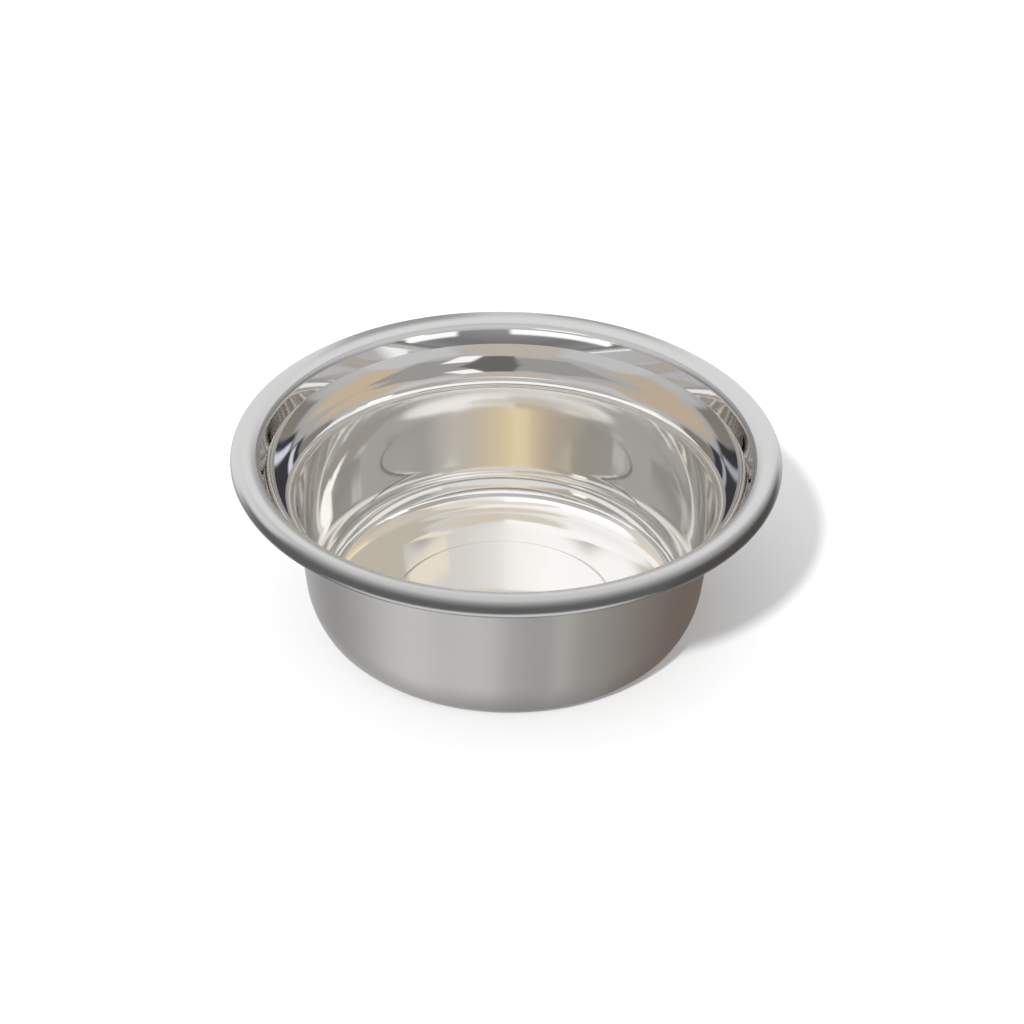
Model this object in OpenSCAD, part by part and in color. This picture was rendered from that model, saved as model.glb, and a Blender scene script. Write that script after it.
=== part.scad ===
// Round steel feeding bowl: one deep drawn sheet with a pressed floor,
// a stepped collar and a hollow rolled rim.
// Millimetres, +Z up, origin on the axis in the plane that the bowl stands on.

/* [Overall] */
// Outside diameter over the rolled rim
rim_diameter = 186; // [166:1:260]
// Height of the rim's top above the surface that the bowl stands on
bowl_height = 67; // [58:0.5:100]
// Thickness of the steel sheet
sheet = 0.7; // [0.5:0.1:1.2]

/* [Floor] */
// Radius of the pressed circle in the floor
disc_radius = 39; // [15:1:45]
// How far the floor inside the circle is pressed up
disc_lift = 0.8; // [0.3:0.1:1.4]
// Tight side radius of the two small bends at the circle
disc_bend = 0.5; // [0.4:0.1:2]
// Outside radius of the corner between the floor and the belly
corner_radius = 9; // [5:0.5:14]

/* [Wall] */
// Lean of the wall from the vertical under the shoulder, in degrees
wall_draft = 6; // [1:0.5:8]
// Lean from the vertical where the belly meets the corner, in degrees
belly_lean = 29; // [18:1:36]
// Outside radius of the belly, the curve from the wall in to the corner
belly_radius = 29; // [15:1:60]
// Food side radius of the shoulder, where the wall turns out into the collar
shoulder_bend = 9; // [4:0.2:12]

/* [Collar] */
// Food side radius of the hollow collar between the shoulder and the rim
collar_radius = 13; // [8:0.2:18]
// Slope of the collar at the shoulder, in degrees from the level
collar_low_slope = 28; // [15:1:40]
// Slope of the collar under the rim, in degrees from the level
collar_top_slope = 63.5; // [50:0.5:65]
// Food side radius of the crease between the collar and the rim
crease_bend = 0.8; // [0.4:0.1:2]

/* [Rim] */
// Length of the rim's straight inner flank, up from the crease
flank_length = 5.2; // [3:0.1:7]
// Slope of the flank, in degrees from the level
flank_slope = 73; // [68:1:86]
// Food side radius of the lip, the tight bend between the flank and the crown
lip_bend = 3.5; // [2.5:0.1:4.5]
// Radius of the crown, the slow bend over the top of the rim
crown_radius = 9.2; // [6:0.2:12]
// Slope of the crown where it meets the lip, in degrees from the level
crown_slope = 33; // [20:1:40]
// Radius of the curl, from the rim's top round and under
curl_radius = 3.5; // [2.5:0.1:4.5]
// Turn of the curl, in degrees
curl_turn = 240; // [180:6:270]

/* [Hidden] */

// Sides of the full circle, and degrees of bend that each facet of an outline covers
$fn = 180;
facet_angle = 5;

rim_radius = rim_diameter / 2;
wall_slope = 90 - wall_draft;
belly_slope = 90 - belly_lean;

// Unit vector to the left of a direction, which is towards the food side of the sheet
function left(slope) = [-sin(slope), cos(slope)];

// Rim: the curl and the crown meet at the rim's top, and the lip turns down into the flank
curl_centre = [rim_radius - curl_radius, bowl_height - curl_radius];
crown_centre = [rim_radius - curl_radius, bowl_height - crown_radius];
crown_end = crown_centre + crown_radius * left(crown_slope);
lip_centre = crown_end - lip_bend * left(crown_slope);
flank_top = lip_centre + lip_bend * left(flank_slope);
crease_top = flank_top - flank_length * [cos(flank_slope), sin(flank_slope)];
crease_under = crease_top - sheet * left(flank_slope);

// Crease, collar and shoulder: each bend starts where the one above it ends, along the same tangent
crease_centre = crease_top + crease_bend * left(flank_slope);
collar_top = crease_centre - crease_bend * left(collar_top_slope);
collar_centre = collar_top + collar_radius * left(collar_top_slope);
shoulder_top = collar_centre - collar_radius * left(collar_low_slope);
shoulder_centre = shoulder_top - shoulder_bend * left(collar_low_slope);
wall_top = shoulder_centre + shoulder_bend * left(wall_slope);

// Belly and corner: their heights are worked out up from the floor, and their radii in from the wall
corner_inside = corner_radius - sheet;
belly_inside = belly_radius - sheet;
belly_bottom_z = corner_radius - corner_inside * cos(belly_slope);
belly_top_z = belly_bottom_z + belly_inside * (cos(belly_slope) - cos(wall_slope));
belly_top = [wall_top[0] - (wall_top[1] - belly_top_z) / tan(wall_slope), belly_top_z];
belly_centre = belly_top + belly_inside * left(wall_slope);
belly_bottom = belly_centre - belly_inside * left(belly_slope);
corner_centre = belly_bottom + corner_inside * left(belly_slope);

// Pressed circle: two equal bends, one against the other, that drop by disc_lift
disc_turn = acos(1 - disc_lift / (2 * disc_bend + sheet));
disc_low_centre = [disc_radius, sheet + disc_bend];
disc_high_reach = (2 * disc_bend + sheet) * sin(disc_turn);
disc_high_centre = [disc_radius - disc_high_reach, disc_lift - disc_bend];

// A bend is [centre, food side radius, other side's radius, first angle, last angle].
// One that is hollow to the food side has its centre there, and one that is round to it doesn't.
function hollow_bend(centre, radius, from, to) = [centre, radius, radius + sheet, from - 90, to - 90];
function round_bend(centre, radius, from, to) = [centre, radius, radius - sheet, from + 90, to + 90];

body_bends = [
    round_bend(disc_high_centre, disc_bend + sheet, 0, -disc_turn),
    hollow_bend(disc_low_centre, disc_bend, -disc_turn, 0),
    hollow_bend(corner_centre, corner_inside, 0, belly_slope),
    hollow_bend(belly_centre, belly_inside, belly_slope, wall_slope),
    round_bend(shoulder_centre, shoulder_bend, wall_slope, collar_low_slope),
    hollow_bend(collar_centre, collar_radius, collar_low_slope, collar_top_slope),
    hollow_bend(crease_centre, crease_bend, collar_top_slope, flank_slope)
];

rim_bends = [
    round_bend(lip_centre, lip_bend, flank_slope, crown_slope),
    round_bend(crown_centre, crown_radius, crown_slope, 0),
    round_bend(curl_centre, curl_radius, 0, -curl_turn)
];

// Points along one face of a bend, where side 1 is the food side and side 2 the other one
function bend_points(bend, side) =
    let (steps = ceil(abs(bend[4] - bend[3]) / facet_angle))
    [for (i = [0 : steps])
        let (angle = bend[3] + (bend[4] - bend[3]) * i / steps)
        bend[0] + bend[side] * [cos(angle), sin(angle)]];

function face_points(bends, side) = [for (bend = bends) for (point = bend_points(bend, side)) point];

function reversed(points) = [for (i = [len(points) - 1 : -1 : 0]) points[i]];

// The floor with its pressed circle, the corner, belly, wall, shoulder and collar
module bowl_body() {
    color([0.80, 0.79, 0.77])
    rotate_extrude()
    polygon(concat(
        [[0, disc_lift + sheet]],
        face_points(body_bends, 1),
        reversed(face_points(body_bends, 2)),
        [[0, disc_lift]]
    ));
}

// The hollow roll, from the crease over the top and round under itself
module rolled_rim() {
    color([0.74, 0.73, 0.72])
    rotate_extrude()
    polygon(concat(
        [crease_top],
        face_points(rim_bends, 1),
        reversed(face_points(rim_bends, 2)),
        [crease_under]
    ));
}

bowl_body();
rolled_rim();
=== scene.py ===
import math

import bpy
from mathutils import Matrix, Vector


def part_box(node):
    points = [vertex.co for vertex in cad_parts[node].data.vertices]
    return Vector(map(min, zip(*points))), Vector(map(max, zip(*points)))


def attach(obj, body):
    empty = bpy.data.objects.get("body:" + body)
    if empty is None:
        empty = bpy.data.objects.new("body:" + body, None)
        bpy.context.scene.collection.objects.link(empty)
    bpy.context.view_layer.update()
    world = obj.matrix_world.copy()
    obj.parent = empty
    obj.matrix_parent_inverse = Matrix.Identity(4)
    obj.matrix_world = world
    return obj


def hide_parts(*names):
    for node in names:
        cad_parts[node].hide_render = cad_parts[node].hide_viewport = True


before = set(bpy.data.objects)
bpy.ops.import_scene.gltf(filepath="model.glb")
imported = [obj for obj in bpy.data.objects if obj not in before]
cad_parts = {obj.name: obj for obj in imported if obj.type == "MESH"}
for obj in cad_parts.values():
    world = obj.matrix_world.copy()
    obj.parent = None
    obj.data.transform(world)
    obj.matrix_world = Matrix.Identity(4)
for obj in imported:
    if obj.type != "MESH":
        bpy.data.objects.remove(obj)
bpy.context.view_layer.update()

# Driving sizes: the rim's box sets them, and every smaller size is in model millimetres

NOMINAL_RIM_RADIUS = 93.0
rim_low, rim_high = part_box("rolled_rim")
RIM_RADIUS = rim_high.x
BOWL_HEIGHT = rim_high.z
MM = RIM_RADIUS / NOMINAL_RIM_RADIUS

SHEET = 0.7 * MM
DISC_RADIUS = 39.0 * MM
DISC_LIFT = 0.8 * MM
DISC_BEND = 0.5 * MM
CORNER_RADIUS = 9.0 * MM
BELLY_RADIUS = 29.0 * MM
WALL_SLOPE = 84.0
BELLY_SLOPE = 61.0
SHOULDER_BEND = 9.0 * MM
COLLAR_RADIUS = 13.0 * MM
COLLAR_LOW_SLOPE = 28.0
COLLAR_TOP_SLOPE = 63.5
SPLIT_SLOPE = 56.0
CREASE_BEND = 0.8 * MM
FLANK_LENGTH = 5.2 * MM
FLANK_SLOPE = 73.0
LIP_BEND = 3.5 * MM
CROWN_RADIUS = 9.2 * MM
CROWN_SLOPE = 33.0
CURL_RADIUS = 3.5 * MM
CURL_TURN = 240.0

# Mesh fineness: segments round the axis, degrees of bend and length of sheet between two rings
ROUND_STEPS = 300
BEND_STEP = 2.5
FLAT_STEP = 3.0 * MM
TOUCHING = 1e-4 * MM


# Outline of the sheet, as bends that follow one another along a common tangent

def left(slope):
    """Unit vector to the left of a direction in the outline's plane, towards the food side."""
    angle = math.radians(slope)
    return Vector((-math.sin(angle), math.cos(angle)))


def along(slope):
    """Unit vector in a direction of the outline's plane, outward and up."""
    angle = math.radians(slope)
    return Vector((math.cos(angle), math.sin(angle)))


def bend(centre, radius, first, last, side):
    """A bend of the sheet: side is 1 where its centre is on the food side and -1 where it isn't."""
    return {"centre": centre, "radius": radius, "first": first, "last": last, "side": side}


def outline():
    """The pieces' outlines, each as its first point, the slope there, and the bends after it.

    The body is whole in one outline, and parted at the shoulder in two others. The rim is
    parted at the end of its lip.
    """
    curl_centre = Vector((RIM_RADIUS - CURL_RADIUS, BOWL_HEIGHT - CURL_RADIUS))
    crown_centre = Vector((RIM_RADIUS - CURL_RADIUS, BOWL_HEIGHT - CROWN_RADIUS))
    crown_end = crown_centre + CROWN_RADIUS * left(CROWN_SLOPE)
    lip_centre = crown_end - LIP_BEND * left(CROWN_SLOPE)
    flank_top = lip_centre + LIP_BEND * left(FLANK_SLOPE)
    crease_top = flank_top - FLANK_LENGTH * along(FLANK_SLOPE)
    crease_centre = crease_top + CREASE_BEND * left(FLANK_SLOPE)
    collar_top = crease_centre - CREASE_BEND * left(COLLAR_TOP_SLOPE)
    collar_centre = collar_top + COLLAR_RADIUS * left(COLLAR_TOP_SLOPE)
    shoulder_top = collar_centre - COLLAR_RADIUS * left(COLLAR_LOW_SLOPE)
    shoulder_centre = shoulder_top - SHOULDER_BEND * left(COLLAR_LOW_SLOPE)
    wall_top = shoulder_centre + SHOULDER_BEND * left(WALL_SLOPE)

    corner_inside = CORNER_RADIUS - SHEET
    belly_inside = BELLY_RADIUS - SHEET
    belly_bottom_z = CORNER_RADIUS - corner_inside * left(BELLY_SLOPE).y
    belly_top_z = belly_bottom_z + belly_inside * (left(BELLY_SLOPE).y - left(WALL_SLOPE).y)
    belly_top_r = wall_top.x - (wall_top.y - belly_top_z) / math.tan(math.radians(WALL_SLOPE))
    belly_centre = Vector((belly_top_r, belly_top_z)) + belly_inside * left(WALL_SLOPE)
    belly_bottom = belly_centre - belly_inside * left(BELLY_SLOPE)
    corner_centre = belly_bottom + corner_inside * left(BELLY_SLOPE)

    disc_span = 2 * DISC_BEND + SHEET
    disc_turn = math.degrees(math.acos(1 - DISC_LIFT / disc_span))
    disc_low = Vector((DISC_RADIUS, SHEET + DISC_BEND))
    disc_reach = disc_span * math.sin(math.radians(disc_turn))
    disc_high = Vector((DISC_RADIUS - disc_reach, DISC_LIFT - DISC_BEND))

    lower = [
        bend(disc_high, DISC_BEND + SHEET, 0, -disc_turn, -1),
        bend(disc_low, DISC_BEND, -disc_turn, 0, 1),
        bend(corner_centre, corner_inside, 0, BELLY_SLOPE, 1),
        bend(belly_centre, belly_inside, BELLY_SLOPE, WALL_SLOPE, 1),
        bend(shoulder_centre, SHOULDER_BEND, WALL_SLOPE, SPLIT_SLOPE, -1),
    ]
    upper = [
        bend(shoulder_centre, SHOULDER_BEND, SPLIT_SLOPE, COLLAR_LOW_SLOPE, -1),
        bend(collar_centre, COLLAR_RADIUS, COLLAR_LOW_SLOPE, COLLAR_TOP_SLOPE, 1),
        bend(crease_centre, CREASE_BEND, COLLAR_TOP_SLOPE, FLANK_SLOPE, 1),
    ]
    flank = [
        bend(lip_centre, LIP_BEND, FLANK_SLOPE, CROWN_SLOPE, -1),
    ]
    roll = [
        bend(crown_centre, CROWN_RADIUS, CROWN_SLOPE, 0, -1),
        bend(curl_centre, CURL_RADIUS, 0, -CURL_TURN, -1),
    ]
    axis = Vector((0, DISC_LIFT + SHEET))
    split = shoulder_centre + SHOULDER_BEND * left(SPLIT_SLOPE)
    return {
        "body": (axis, 0.0, lower + upper),
        "inside": (axis, 0.0, lower),
        "collar": (split, SPLIT_SLOPE, upper),
        "flank": (crease_top, FLANK_SLOPE, flank),
        "roll": (crown_end, CROWN_SLOPE, roll),
    }


def bend_points(piece, depth):
    """Points of one bend, depth under the food side, each as (point, slope)."""
    turn = piece["last"] - piece["first"]
    arc = math.radians(abs(turn)) * piece["radius"]
    steps = max(math.ceil(abs(turn) / BEND_STEP), math.ceil(arc / FLAT_STEP))
    radius = piece["radius"] + piece["side"] * depth
    points = []
    for i in range(steps + 1):
        slope = piece["first"] + turn * i / steps
        points.append((piece["centre"] - piece["side"] * radius * left(slope), slope))
    return points


def face_points(sheet, depth):
    """Points and slopes along one face of the sheet, with its straight stretches divided too."""
    start, start_slope, bends = sheet
    points = [(start - depth * left(start_slope), start_slope)]
    for piece in bends:
        fresh = bend_points(piece, depth)
        (last, slope), (first, _) = points[-1], fresh[0]
        gap = (first - last).length
        if gap < TOUCHING:
            fresh = fresh[1:]
        for i in range(1, math.ceil(gap / FLAT_STEP)):
            points.append((last.lerp(first, i * FLAT_STEP / gap), slope))
        points.extend(fresh)
    return points


def lathe(name, profile):
    """A closed mesh turned from a profile of (point, normal) pairs, with exact normals.

    The profile runs from the axis back to the axis, or is a loop off the axis.
    """
    on_axis = profile[0][0].x < TOUCHING
    rings = profile[1:-1] if on_axis else profile
    verts, normals, faces = [], [], []
    for point, normal in rings:
        for k in range(ROUND_STEPS):
            turn = 2 * math.pi * k / ROUND_STEPS
            c, s = math.cos(turn), math.sin(turn)
            verts.append((point.x * c, point.x * s, point.y))
            normals.append((normal.x * c, normal.x * s, normal.y))
    count = len(rings)
    for j in range(count - 1 if on_axis else count):
        a, b = j * ROUND_STEPS, (j + 1) % count * ROUND_STEPS
        for k in range(ROUND_STEPS):
            n = (k + 1) % ROUND_STEPS
            faces.append((a + k, a + n, b + n, b + k))
    if on_axis:
        for end, ring in ((0, 0), (-1, (count - 1) * ROUND_STEPS)):
            tip = len(verts)
            point, normal = profile[end]
            verts.append((0, 0, point.y))
            normals.append((0, 0, normal.y))
            for k in range(ROUND_STEPS):
                n = (k + 1) % ROUND_STEPS
                faces.append((tip, ring + n, ring + k) if end == 0 else (tip, ring + k, ring + n))
    mesh = bpy.data.meshes.new(name)
    mesh.from_pydata(verts, [], faces)
    mesh.shade_smooth()
    mesh.normals_split_custom_set_from_vertices(normals)
    piece = bpy.data.objects.new(name, mesh)
    bpy.context.scene.collection.objects.link(piece)
    return piece


def sheet_piece(name, sheet, top, under):
    """A layer of the sheet between two depths under its food side, as a closed mesh."""
    lower = [(p, -left(slope)) for p, slope in face_points(sheet, under)]
    upper = [(p, left(slope)) for p, slope in face_points(sheet, top)]
    return lathe(name, lower + upper[::-1])


# Materials: the steel's marks follow the radius, because the bowl was polished while it turned

AXIS_CLEAR = 0.1 * MM

# Food side: width and height of the fine marks and of the slow waves, how fast both fade along, the
# part of the noise that the roughness follows, the size of the faint clouds, and their two colours
INSIDE_MARK, INSIDE_MARK_HEIGHT = 0.35 * MM, 0.0005 * MM
INSIDE_WAVE, INSIDE_WAVE_HEIGHT = 4.0 * MM, 0.001 * MM
INSIDE_TURNS, INSIDE_WAVE_TURNS = 3.0, 1.5
INSIDE_SPREAD = (0.3, 0.7)
INSIDE_CLOUD = 30.0 * MM
INSIDE_LIGHT, INSIDE_DARK = (0.87, 0.86, 0.845), (0.85, 0.84, 0.82)
INSIDE_SMOOTH, INSIDE_ROUGH = 0.035, 0.075

# Painted shade along the step where the floor's circle is pressed: dark to LINE_CORE from its
# middle, plain from LINE_EDGE. The painted shade is faint at the front of the circle and whole at
# the back, by the place along the depth.
DISC_LINE = DISC_RADIUS - 0.3 * MM
LINE_CORE, LINE_EDGE = 0.2 * MM, 0.45 * MM
LINE_FRONT, LINE_BACK, LINE_FRONT_SHARE = 0.3, 0.7, 0.15
STEP_SHADE_COLOUR = (0.32, 0.32, 0.32)

# Rim: mirror bright on its flank, and satin outward from SATIN_FROM
SATIN_FROM = 83.0 * MM
SATIN_FADE = 1.5 * MM
RIM_MARK, RIM_MARK_HEIGHT = 0.3 * MM, 0.0012 * MM
RIM_TURNS = 4.0
RIM_CLOUD = 25.0 * MM
RIM_LIGHT, RIM_DARK = (0.86, 0.855, 0.85), (0.83, 0.825, 0.82)
RIM_SMOOTH, RIM_SATIN, RIM_MARK_ROUGH = 0.02, 0.24, 0.04

# Outside: satin all over, with its highlights drawn out across the marks
OUTSIDE_MARK, OUTSIDE_MARK_HEIGHT = 0.18 * MM, 0.002 * MM
OUTSIDE_TURNS, OUTSIDE_DETAIL = 6.0, 4.0
OUTSIDE_SPREAD = (0.25, 0.75)
OUTSIDE_CLOUD = 40.0 * MM
OUTSIDE_LIGHT, OUTSIDE_DARK = (0.69, 0.68, 0.67), (0.64, 0.63, 0.62)
OUTSIDE_SMOOTH, OUTSIDE_ROUGH = 0.28, 0.40
OUTSIDE_STRETCH, QUARTER_TURN = 0.85, 0.25


class Nodes:
    """A material's node tree, with short calls for the nodes that the finishes share."""

    def __init__(self, name):
        self.material = bpy.data.materials.new(name)
        self.material.use_nodes = True
        self.tree = self.material.node_tree
        self.tree.nodes.clear()
        self.output = self.tree.nodes.new("ShaderNodeOutputMaterial")

    def put(self, socket, value):
        """Link a socket to another one, or give it a plain value."""
        if isinstance(value, bpy.types.NodeSocket):
            self.tree.links.new(value, socket)
        else:
            socket.default_value = value

    def add(self, kind, **inputs):
        """A node of a kind, with its inputs given by name."""
        node = self.tree.nodes.new(kind)
        for name, value in inputs.items():
            self.put(node.inputs[name.replace("_", " ")], value)
        return node

    def math(self, operation, first, second=0.0):
        node = self.tree.nodes.new("ShaderNodeMath")
        node.operation = operation
        self.put(node.inputs[0], first)
        self.put(node.inputs[1], second)
        return node.outputs[0]

    def between(self, value, low, high, at_low, at_high):
        """A value that goes smoothly from at_low to at_high while another goes from low to high."""
        node = self.tree.nodes.new("ShaderNodeMapRange")
        node.interpolation_type = "SMOOTHSTEP"
        for i, number in enumerate((value, low, high, at_low, at_high)):
            self.put(node.inputs[i], number)
        return node.outputs[0]

    def place(self):
        """Radius and height on the bowl, and the unit direction from its axis."""
        where = self.add("ShaderNodeTexCoord").outputs["Object"]
        axes = self.add("ShaderNodeSeparateXYZ", Vector=where).outputs
        radius = self.math("POWER", self.math("ADD", self.math("POWER", axes[0], 2.0),
                                              self.math("POWER", axes[1], 2.0)), 0.5)
        safe = self.math("MAXIMUM", radius, AXIS_CLEAR)
        return radius, axes[2], self.math("DIVIDE", axes[0], safe), self.math("DIVIDE", axes[1], safe)

    def round_marks(self, width, turns, detail=3.0):
        """Noise drawn out round the axis: width is one mark's, and turns is how fast it fades along."""
        radius, height, across, deep = self.place()
        spread = self.math("DIVIDE", self.math("ADD", radius, height), width)
        skew = self.math("DIVIDE", self.math("SUBTRACT", radius, height), width)
        flat = self.add("ShaderNodeCombineXYZ", X=self.math("MULTIPLY", across, turns),
                        Y=self.math("MULTIPLY", deep, turns), Z=spread)
        noise = self.tree.nodes.new("ShaderNodeTexNoise")
        noise.noise_dimensions = "4D"
        self.put(noise.inputs["Vector"], flat.outputs[0])
        self.put(noise.inputs["W"], skew)
        noise.inputs["Scale"].default_value = 1.0
        noise.inputs["Detail"].default_value = detail
        return noise.outputs["Fac"]

    def mottle(self, size, detail=2.0):
        """Soft noise whose clouds have a size."""
        where = self.add("ShaderNodeTexCoord").outputs["Object"]
        return self.add("ShaderNodeTexNoise", Vector=where, Scale=1 / size, Detail=detail).outputs["Fac"]

    def bump(self, height, depth, under=None):
        node = self.add("ShaderNodeBump", Height=height, Distance=depth)
        if under is not None:
            self.put(node.inputs["Normal"], under)
        return node.outputs[0]

    def tint(self, factor, one, other):
        """A colour between two, each of which is a socket or red, green and blue."""
        node = self.tree.nodes.new("ShaderNodeMix")
        node.data_type = "RGBA"
        self.put(node.inputs["Factor"], factor)
        for i, colour in ((6, one), (7, other)):
            self.put(node.inputs[i], colour + (1.0,) if isinstance(colour, tuple) else colour)
        return node.outputs[2]

    def metal(self, colour, roughness, normal, **more):
        shader = self.add("ShaderNodeBsdfPrincipled", Base_Color=colour, Roughness=roughness,
                          Normal=normal, Metallic=1.0, **more)
        self.put(self.output.inputs["Surface"], shader.outputs[0])
        return self.material


def polished_steel():
    """Mirror polish of the food side, with painted shade along the step of the pressed circle."""
    steel = Nodes("polished_steel")
    fine = steel.round_marks(INSIDE_MARK, INSIDE_TURNS)
    broad = steel.round_marks(INSIDE_WAVE, INSIDE_WAVE_TURNS)
    cloudy = steel.mottle(INSIDE_CLOUD)
    radius, _, _, deep = steel.place()
    # Painted shade along the step round the pressed circle, fainter at the front than at the back
    away = steel.math("ABSOLUTE", steel.math("SUBTRACT", radius, DISC_LINE))
    share = steel.between(deep, LINE_FRONT, LINE_BACK, LINE_FRONT_SHARE, 1.0)
    step_shade = steel.math("MULTIPLY", share, steel.between(away, LINE_CORE, LINE_EDGE, 1.0, 0.0))
    colour = steel.tint(step_shade, steel.tint(cloudy, INSIDE_LIGHT, INSIDE_DARK), STEP_SHADE_COLOUR)
    roughness = steel.between(fine, *INSIDE_SPREAD, INSIDE_SMOOTH, INSIDE_ROUGH)
    waves = steel.bump(broad, INSIDE_WAVE_HEIGHT)
    return steel.metal(colour, roughness, steel.bump(fine, INSIDE_MARK_HEIGHT, waves))


def rim_steel():
    """Mirror polish that turns to satin over the rim's roll."""
    steel = Nodes("rim_steel")
    radius = steel.place()[0]
    fine = steel.round_marks(RIM_MARK, RIM_TURNS)
    satin = steel.between(radius, SATIN_FROM, SATIN_FROM + SATIN_FADE, 0.0, 1.0)
    marks = steel.math("MULTIPLY", fine, satin)
    level = steel.math("ADD", RIM_SMOOTH, steel.math("MULTIPLY", satin, RIM_SATIN))
    roughness = steel.math("ADD", level, steel.math("MULTIPLY", marks, RIM_MARK_ROUGH))
    colour = steel.tint(steel.mottle(RIM_CLOUD), RIM_LIGHT, RIM_DARK)
    return steel.metal(colour, roughness, steel.bump(marks, RIM_MARK_HEIGHT))


def satin_steel():
    """Satin of the outside, with marks that run round the wall."""
    steel = Nodes("satin_steel")
    fine = steel.round_marks(OUTSIDE_MARK, OUTSIDE_TURNS, OUTSIDE_DETAIL)
    colour = steel.tint(steel.mottle(OUTSIDE_CLOUD), OUTSIDE_LIGHT, OUTSIDE_DARK)
    roughness = steel.between(fine, *OUTSIDE_SPREAD, OUTSIDE_SMOOTH, OUTSIDE_ROUGH)
    tangent = steel.tree.nodes.new("ShaderNodeTangent")
    tangent.direction_type = "RADIAL"
    tangent.axis = "Z"
    return steel.metal(colour, roughness, steel.bump(fine, OUTSIDE_MARK_HEIGHT),
                       Anisotropic=OUTSIDE_STRETCH, Anisotropic_Rotation=QUARTER_TURN,
                       Tangent=tangent.outputs[0])


# Pieces, each with the solid that it stands for, its slot and its finish

outlines = outline()
bowl_inside = sheet_piece("bowl_inside", outlines["inside"], 0, SHEET / 2)
bowl_collar = sheet_piece("bowl_collar", outlines["collar"], 0, SHEET / 2)
bowl_outside = sheet_piece("bowl_outside", outlines["body"], SHEET / 2, SHEET)
rim_flank = sheet_piece("rim_flank", outlines["flank"], 0, SHEET)
rim_roll = sheet_piece("rim_roll", outlines["roll"], 0, SHEET)

inside_finish = polished_steel()
rim_finish = rim_steel()
outside_finish = satin_steel()

for piece, node, slot, finish in (
    (bowl_inside, "bowl_body", "polished_steel", inside_finish),
    (bowl_collar, "bowl_body", "polished_steel", inside_finish),
    (bowl_outside, "bowl_body", "satin_steel", outside_finish),
    (rim_flank, "rolled_rim", "rim_steel", rim_finish),
    (rim_roll, "rolled_rim", "rim_steel", rim_finish),
):
    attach(piece, "root")
    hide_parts(node)
    piece.data.materials.append(finish)


# Studio: each piece of steel reflects soft boxes and flags of its own, which only reflections see

# Degrees between a dome's points: fine ones, coarse ones, and those of what is overhead
DOME_STEP, COARSE_STEP, FINE_STEP = 1, 2, 0.4
FINE_FROM = 60
OVERHEAD_FROM = 30

# Azimuths at which a dome turns from its front to its back, and a band's top to its lower one
BACK_FROM, BACK_TO = 80, 130
BESIDE_FROM, BESIDE_TO = 75, 120
BAND_FADE = 4

# Share of the way to the rear at which a dome has its far radius
REAR_SHARE = 0.9

# Each dome: how far it is in front of the bowl and behind it, the brightness at a few elevations on
# both sides, and its soft boxes and flags, each as its lowest and highest azimuth, its lowest and
# highest elevation, its colour and how soft its edge is. Azimuth 0 is towards the camera and 90 to
# its right. A band has its lowest elevation, and its highest in front and behind. Around has its
# colour at a few azimuths, and above has the colour over it. What is overhead is placed by
# hundredths of its height, to the right and to the rear.
INSIDE_DOME = {
    "near": 172.0 * MM,
    "far": 450.0 * MM,
    "front": ((-90, .10), (0, .40), (18, .95), (90, .95)),
    "back": ((-90, .10), (0, .40), (18, .95), (90, .95)),
    "band": (34, 62.5, 52.5),
    "around": (
        (-180, (1.00, .87, .60)), (-160, (.89, .76, .58)), (-140, (.78, .70, .62)),
        (-120, (.74, .71, .67)), (-100, (.68, .67, .65)), (-72, (.51, .51, .50)),
        (-40, (.54, .54, .54)), (26, (.55, .55, .54)), (40, (.46, .46, .45)),
        (80, (.46, .44, .40)), (110, (.60, .53, .46)), (132, (.70, .60, .49)),
        (150, (.88, .76, .56)), (157, (1.06, .91, .63)), (170, (1.12, .96, .66)),
        (180, (1.00, .87, .60)),
    ),
    "above": (
        (-180, (.98, .98, .98)), (-150, (1.12, 1.12, 1.12)), (-110, (1.26, 1.26, 1.27)),
        (-50, (1.30, 1.30, 1.31)), (-10, (1.20, 1.20, 1.20)), (10, (1.02, 1.01, 1.01)),
        (40, (.90, .89, .87)), (110, (.80, .78, .75)), (160, (.84, .82, .79)), (180, (1.05, 1.05, 1.05)),
    ),
    "patches": (
        ("beige_right", 97, 170, 50, 70, (.67, .62, .53), 3),
        ("light_streak", 58, 96, 63, 70, (1.06, .98, .84), 3),
        ("pale_strip", 22, 40, 44, 51, (.72, .71, .70), 2),
        ("light_strip", 80, 98, 38, 45.5, (1.5, 1.5, 1.5), 2),
        ("dark_low_left", -86, -20, 40, 46, (.40, .40, .40), 5),
        ("dark_low_right", 22, 79, 40, 46, (.40, .40, .39), 5),
        ("white_low", -104, 104, 18, 40, (1.10, 1.09, 1.07), 5),
        ("gold_overhead_left", -190, -95, 75, 87, (.88, .82, .72), 5),
        ("gold_overhead_right", 60, 190, 75, 87, (.84, .77, .66), 5),
    ),
}
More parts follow.
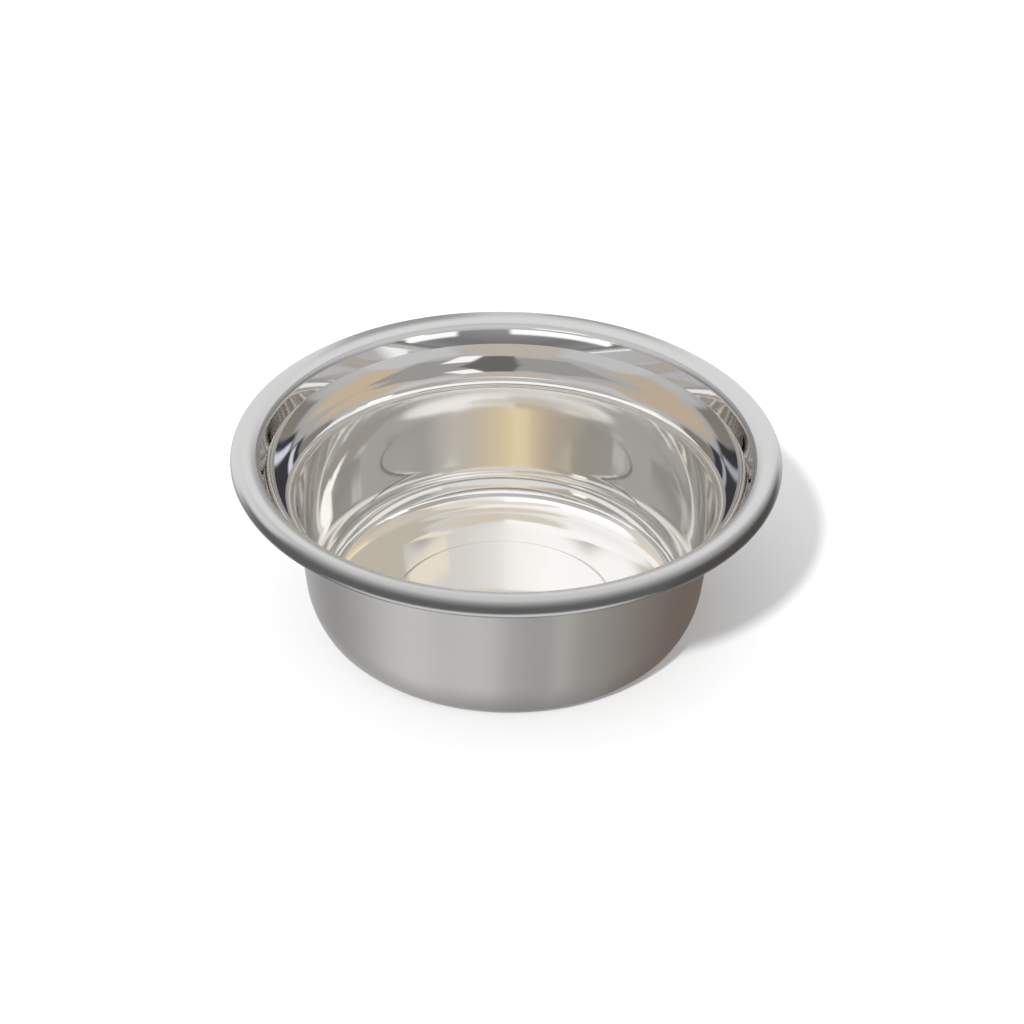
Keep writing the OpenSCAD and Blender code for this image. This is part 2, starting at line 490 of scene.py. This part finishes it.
COLLAR_DOME = {
    "near": 3.0,
    "far": 3.0,
    "front": ((-90, .10), (0, .40), (20, .55), (50, .50), (90, .42)),
    "back": ((-90, .25), (0, .30), (20, .40), (50, .45), (90, .42)),
    "patches": (
        ("pale_right", 28, 72, 10, 52, (.62, .62, .63), 8),
        ("pale_left", -72, -28, 10, 52, (.60, .60, .61), 8),
        ("cream_front", -25, 22, 12, 62, (.56, .51, .45), 8),
        ("gold_right", 72, 130, 36, 62, (.62, .51, .37), 14),
        ("gold_left", -140, -72, 36, 60, (.56, .46, .35), 14),
        ("beside_right", 106, 134, -12, 27, (.25, .23, .20), 6),
        ("beside_left", -134, -106, -12, 29, (.24, .22, .19), 6),
        ("dark_right", 134, 168, 2, 32, (.045, .045, .055), 5),
        ("dark_left", -166, -134, 2, 32, (.045, .045, .055), 5),
        ("streak_right", 141, 147, 6, 30, (.70, .73, .82), 3),
        ("streak_left", -150, -145, 6, 30, (.40, .42, .48), 3),
    ),
    "overhead": (
        ("grey", -36, 60, -38, 25, (.36, .355, .345), 4),
        ("white_box", 17, 33, -54, -16, (1.08, 1.08, 1.08), 3),
        ("dark_box", -4, 16, -50, 12, (.16, .155, .15), 3),
    ),
}
FLANK_DOME = {
    "near": 169.0 * MM,
    "far": 169.0 * MM,
    "front": (
        (-90, .10), (20, .30), (24, .32), (26, .20), (27.5, .15), (28.5, .45),
        (45, .52), (60, .60), (90, .70),
    ),
    "back": (
        (-90, .10), (10, .20), (26, .22), (36, .27), (48, .34), (54, .45),
        (62, .62), (90, .64),
    ),
    "patches": (
        ("box_left", 49, 62, 30, 48, (1.25, 1.25, 1.25), 4),
        ("box_right", -64, -50, 34, 48, (1.1, 1.1, 1.1), 4),
        ("box_high", -60, -20, 60, 72, (1.2, 1.2, 1.2), 5),
    ),
}
RIM_DOME = {
    "near": 167.0 * MM,
    "far": 167.0 * MM,
    "front": (
        (-90, .16), (-12, .12), (25, .12), (31, .14), (38, .25), (45, .36),
        (52, .49), (60, .63), (90, .66),
    ),
    "back": (
        (-90, .16), (0, .45), (15, .75), (30, .68), (38, .64), (48, .80),
        (58, .82), (66, .66), (90, .62),
    ),
    "patches": (
        ("pale_right", 112, 152, 18, 46, (.80, .80, .80), 8),
        ("pale_left", -152, -94, 12, 46, (.78, .78, .78), 8),
        ("side_left", -98, -72, 30, 50, (.72, .72, .72), 8),
        ("dark_right", 50, 106, -15, 33, (.08, .075, .07), 8),
        ("rear_right", 156, 175, 20, 38, (.40, .395, .39), 6),
        ("rear_left", -174, -152, 20, 45, (.36, .355, .35), 6),
        ("table_left", -160, -112, -42, -2, (.7, .7, .7), 10),
        ("table_front", -62, 50, -62, -10, (.68, .68, .68), 10),
    ),
}
OUTSIDE_DOME = {
    "near": 3.4,
    "far": 3.4,
    "front": ((-90, .30), (-66, .40), (90, .40)),
    "back": ((-90, .26), (-66, .30), (90, .30)),
    "band": (-62, 60, 60),
    "around": (
        (-180, (.98, .98, .98)), (-150, (.66, .66, .66)), (-112, (.36, .36, .36)),
        (-85, (.60, .59, .59)), (-66, (.87, .87, .87)), (-50, (.90, .88, .88)),
        (-32, (.76, .76, .76)), (-18, (.87, .87, .85)), (-4, (.81, .80, .79)),
        (3, (.59, .59, .58)), (28, (.50, .50, .48)), (44, (.46, .44, .41)),
        (70, (.38, .36, .33)), (92, (.29, .25, .23)), (115, (.22, .18, .15)),
        (180, (.22, .19, .18)),
    ),
    "patches": (
        ("streak", 31, 39, -58, 20, (.76, .76, .73), 3),
    ),
}


def smooth(share):
    """A share held between 0 and 1, with a slow start and a slow end."""
    share = min(max(share, 0.0), 1.0)
    return share * share * (3 - 2 * share)


def towards(azimuth, elevation):
    """Unit vector at an azimuth, where 0 is towards the camera and 90 to its right, and an elevation."""
    a, e = math.radians(azimuth), math.radians(elevation)
    return Vector((math.sin(a) * math.cos(e), -math.cos(a) * math.cos(e), math.sin(e)))


def glow_at(stops, elevation):
    """Brightness between the two stops that an elevation lies between."""
    for (low, one), (high, other) in zip(stops, stops[1:]):
        if elevation <= high:
            return one + (other - one) * (elevation - low) / (high - low)
    return stops[-1][1]


def colour_at(stops, azimuth):
    """Colour between the two stops that an azimuth lies between."""
    for (low, one), (high, other) in zip(stops, stops[1:]):
        if azimuth <= high:
            return Vector(one).lerp(Vector(other), (azimuth - low) / (high - low))
    return Vector(stops[-1][1])


def painted(plain, patches, across, up):
    """A plain colour with patches over it, the last on top, each fading across its soft edge."""
    colour = Vector(plain)
    for _, left_edge, right_edge, low_edge, high_edge, shade, softness in patches:
        share = 1.0
        for inside in (across - left_edge, right_edge - across, up - low_edge, high_edge - up):
            share *= smooth(inside / softness + 0.5)
        colour = colour.lerp(Vector(shade), share)
    return colour


def banded(plain, dome, azimuth, elevation):
    """The band around and what is above it, over the plain colour that is left under it."""
    low, top, top_behind = dome["band"]
    top += (top_behind - top) * smooth((abs(azimuth) - BESIDE_FROM) / (BESIDE_TO - BESIDE_FROM))
    colour = plain.lerp(colour_at(dome["around"], azimuth), smooth((elevation - low) / BAND_FADE + 0.5))
    above = colour_at(dome["above"], azimuth) if "above" in dome else plain
    return colour.lerp(above, smooth((elevation - top) / BAND_FADE + 0.5))


def dome_colour(dome, azimuth, elevation):
    """What a dome shows in a direction: front and back, band, patches and what is overhead."""
    front = glow_at(dome["front"], elevation)
    rear = glow_at(dome["back"], elevation)
    plain = front + (rear - front) * smooth((abs(azimuth) - BACK_FROM) / (BACK_TO - BACK_FROM))
    colour = Vector((plain, plain, plain))
    if "band" in dome:
        colour = banded(colour, dome, azimuth, elevation)
    colour = painted(colour, dome["patches"], azimuth, elevation)
    if "overhead" in dome and elevation > OVERHEAD_FROM:
        across, rear, up = towards(azimuth, elevation)
        colour = painted(colour, dome["overhead"], 100 * across / up, 100 * rear / up)
    return colour


def glow_material(name, solid):
    """Light of the colour stored on the mesh, which isn't sampled as a lamp."""
    glow = Nodes(name)
    colour = glow.tree.nodes.new("ShaderNodeVertexColor")
    colour.layer_name = "glow"
    shader = glow.add("ShaderNodeEmission", Color=colour.outputs[0])
    if not solid:
        clear = glow.add("ShaderNodeBsdfTransparent")
        both = glow.tree.nodes.new("ShaderNodeAddShader")
        glow.put(both.inputs[0], shader.outputs[0])
        glow.put(both.inputs[1], clear.outputs[0])
        shader = both
    glow.put(glow.output.inputs["Surface"], shader.outputs[0])
    glow.material.cycles.emission_sampling = "NONE"
    return glow.material


def stage_grid(name, points, colours, columns, receiver, solid=False):
    """A stage mesh of a grid of points, lit by its own colours, that one piece's reflections see."""
    rows = len(points) // columns
    faces = []
    for j in range(rows - 1):
        for k in range(columns - 1):
            a = j * columns + k
            faces.append((a, a + 1, a + columns + 1, a + columns))
    mesh = bpy.data.meshes.new(name)
    mesh.from_pydata(points, [], faces)
    layer = mesh.color_attributes.new("glow", "FLOAT_COLOR", "POINT")
    for item, colour in zip(layer.data, colours):
        item.color = (*colour, 1.0)
    thing = bpy.data.objects.new(name, mesh)
    bpy.context.scene.collection.objects.link(thing)
    thing.data.materials.append(glow_material(name, solid))
    thing.visible_camera = False
    thing.visible_diffuse = False
    thing.visible_shadow = False
    thing.visible_transmission = False
    thing.visible_volume_scatter = False
    lit = bpy.data.collections.new(name + "_lights")
    lit.objects.link(receiver)
    thing.light_linking.receiver_collection = lit


def reach(dome, direction):
    """How far a dome is in a direction: it goes smoothly from near to far towards the rear."""
    return dome["near"] * (dome["far"] / dome["near"]) ** smooth(direction.y / REAR_SHARE)


def dome_rows(dome, step):
    """Elevations of a dome's rows, closer together overhead where it has something there."""
    top = FINE_FROM if "overhead" in dome else 90
    rows = list(range(-90, top + 1, step))
    return rows + [top + i * FINE_STEP for i in range(1, round((90 - top) / FINE_STEP) + 1)]


def add_dome(name, dome, receiver, step, solid=False):
    """A dome that one piece's reflections see. A solid one hides what is beyond it."""
    azimuths = range(-180, 181, step)
    points, colours = [], []
    for elevation in dome_rows(dome, step):
        for azimuth in azimuths:
            direction = towards(azimuth, elevation)
            points.append(reach(dome, direction) * direction)
            colours.append(dome_colour(dome, azimuth, elevation))
    stage_grid(name, points, colours, len(azimuths), receiver, solid)


# White strip in front that the rim's far flank shows as a crescent on each side: its level falls
# with the square of the azimuth, and each level has a share of the strip's light
STRIP_RADIUS = 170.0 * MM
STRIP_BOW = 0.0012
STRIP_LEVELS = ((27.5, 0.0), (27.75, 1.0), (33, 1.0), (37, 0.0))
STRIP_SPANS = ((-60, 1), (27, 60))
STRIP_FADE = 4
STRIP_REACH = 70
STRIP_GLOW = 0.95


def strip_share(azimuth):
    """How much of the strip's light shows at an azimuth, which is whole inside its spans."""
    return max(smooth((azimuth - low) / STRIP_FADE) * smooth((high - azimuth) / STRIP_FADE)
               for low, high in STRIP_SPANS)


def add_strip():
    points, colours = [], []
    azimuths = range(-STRIP_REACH, STRIP_REACH + 1)
    for level, share in STRIP_LEVELS:
        for azimuth in azimuths:
            points.append(STRIP_RADIUS * towards(azimuth, level - STRIP_BOW * azimuth ** 2))
            colours.append(Vector((1, 1, 1)) * STRIP_GLOW * share * strip_share(azimuth))
    stage_grid("flank_strip", points, colours, len(azimuths), rim_flank)


add_dome("inside_dome", INSIDE_DOME, bowl_inside, DOME_STEP)
add_dome("collar_dome", COLLAR_DOME, bowl_collar, DOME_STEP)
add_dome("flank_dome", FLANK_DOME, rim_flank, COARSE_STEP)
add_strip()
add_dome("rim_dome", RIM_DOME, rim_roll, COARSE_STEP)
add_dome("outside_dome", OUTSIDE_DOME, bowl_outside, COARSE_STEP, True)


# Table, lamp and background

FLOOR_REACH = 6.0
FLOOR_COLOUR = 0.8
WORLD_LEVEL = 1.0
SUN_LEVEL = 2.6
SUN_AZIMUTH = -22
SUN_ELEVATION = 44
SUN_ANGLE = 4.5


def floor_material():
    floor = Nodes("floor")
    shader = floor.add("ShaderNodeBsdfDiffuse")
    shader.inputs["Color"].default_value = (FLOOR_COLOUR, FLOOR_COLOUR, FLOOR_COLOUR, 1)
    floor.put(floor.output.inputs["Surface"], shader.outputs[0])
    return floor.material


def add_floor():
    """The table, white to the camera; reflections see the domes' lower half in its place."""
    mesh = bpy.data.meshes.new("floor")
    corners = [(x * FLOOR_REACH, y * FLOOR_REACH, 0) for x, y in ((-1, -1), (1, -1), (1, 1), (-1, 1))]
    mesh.from_pydata(corners, [], [(0, 1, 2, 3)])
    floor = bpy.data.objects.new("floor", mesh)
    bpy.context.scene.collection.objects.link(floor)
    floor.data.materials.append(floor_material())
    floor.visible_glossy = False


def add_sun():
    """The lamp that throws the bowl's shadow to the right and the rear."""
    data = bpy.data.lights.new("sun", "SUN")
    data.energy = SUN_LEVEL
    data.angle = math.radians(SUN_ANGLE)
    sun = bpy.data.objects.new("sun", data)
    sun.rotation_euler = (-towards(SUN_AZIMUTH, SUN_ELEVATION)).to_track_quat("-Z", "Y").to_euler()
    sun.visible_glossy = False
    bpy.context.scene.collection.objects.link(sun)


def add_world():
    """White all round, for the camera and for soft light."""
    world = bpy.data.worlds.new("world")
    world.use_nodes = True
    background = world.node_tree.nodes["Background"]
    background.inputs["Color"].default_value = (1, 1, 1, 1)
    background.inputs["Strength"].default_value = WORLD_LEVEL
    bpy.context.scene.world = world


add_floor()
add_sun()
add_world()


# Camera: where the photograph's axis point sits in the frame, and how far away it is

PHOTO_SIZE = 1024
FOCAL_PIXELS = 2700
SENSOR = 36.0
ORIGIN_PIXEL = (503.8, 605.2)
CAMERA_DEPTH = 947.5 * MM
CAMERA_PITCH = 33.65
CAMERA_ROLL = 1.10


def add_camera():
    turn = Matrix.Rotation(math.radians(90 - CAMERA_PITCH), 4, "X")
    turn = turn @ Matrix.Rotation(math.radians(CAMERA_ROLL), 4, "Z")
    across = (ORIGIN_PIXEL[0] - PHOTO_SIZE / 2) / FOCAL_PIXELS
    down = (ORIGIN_PIXEL[1] - PHOTO_SIZE / 2) / FOCAL_PIXELS
    to_origin = CAMERA_DEPTH * Vector((across, -down, -1))
    data = bpy.data.cameras.new("camera")
    data.sensor_width = SENSOR
    data.lens = FOCAL_PIXELS / PHOTO_SIZE * SENSOR
    camera = bpy.data.objects.new("camera", data)
    camera.matrix_world = Matrix.Translation(-(turn @ to_origin)) @ turn
    bpy.context.scene.collection.objects.link(camera)
    bpy.context.scene.camera = camera


# A mirror bowl reflects itself many times over before it reflects the studio
MIRROR_BOUNCES = 20

add_camera()
bpy.context.scene.view_settings.view_transform = "Standard"
bpy.context.scene.cycles.max_bounces = MIRROR_BOUNCES
bpy.context.scene.cycles.glossy_bounces = MIRROR_BOUNCES
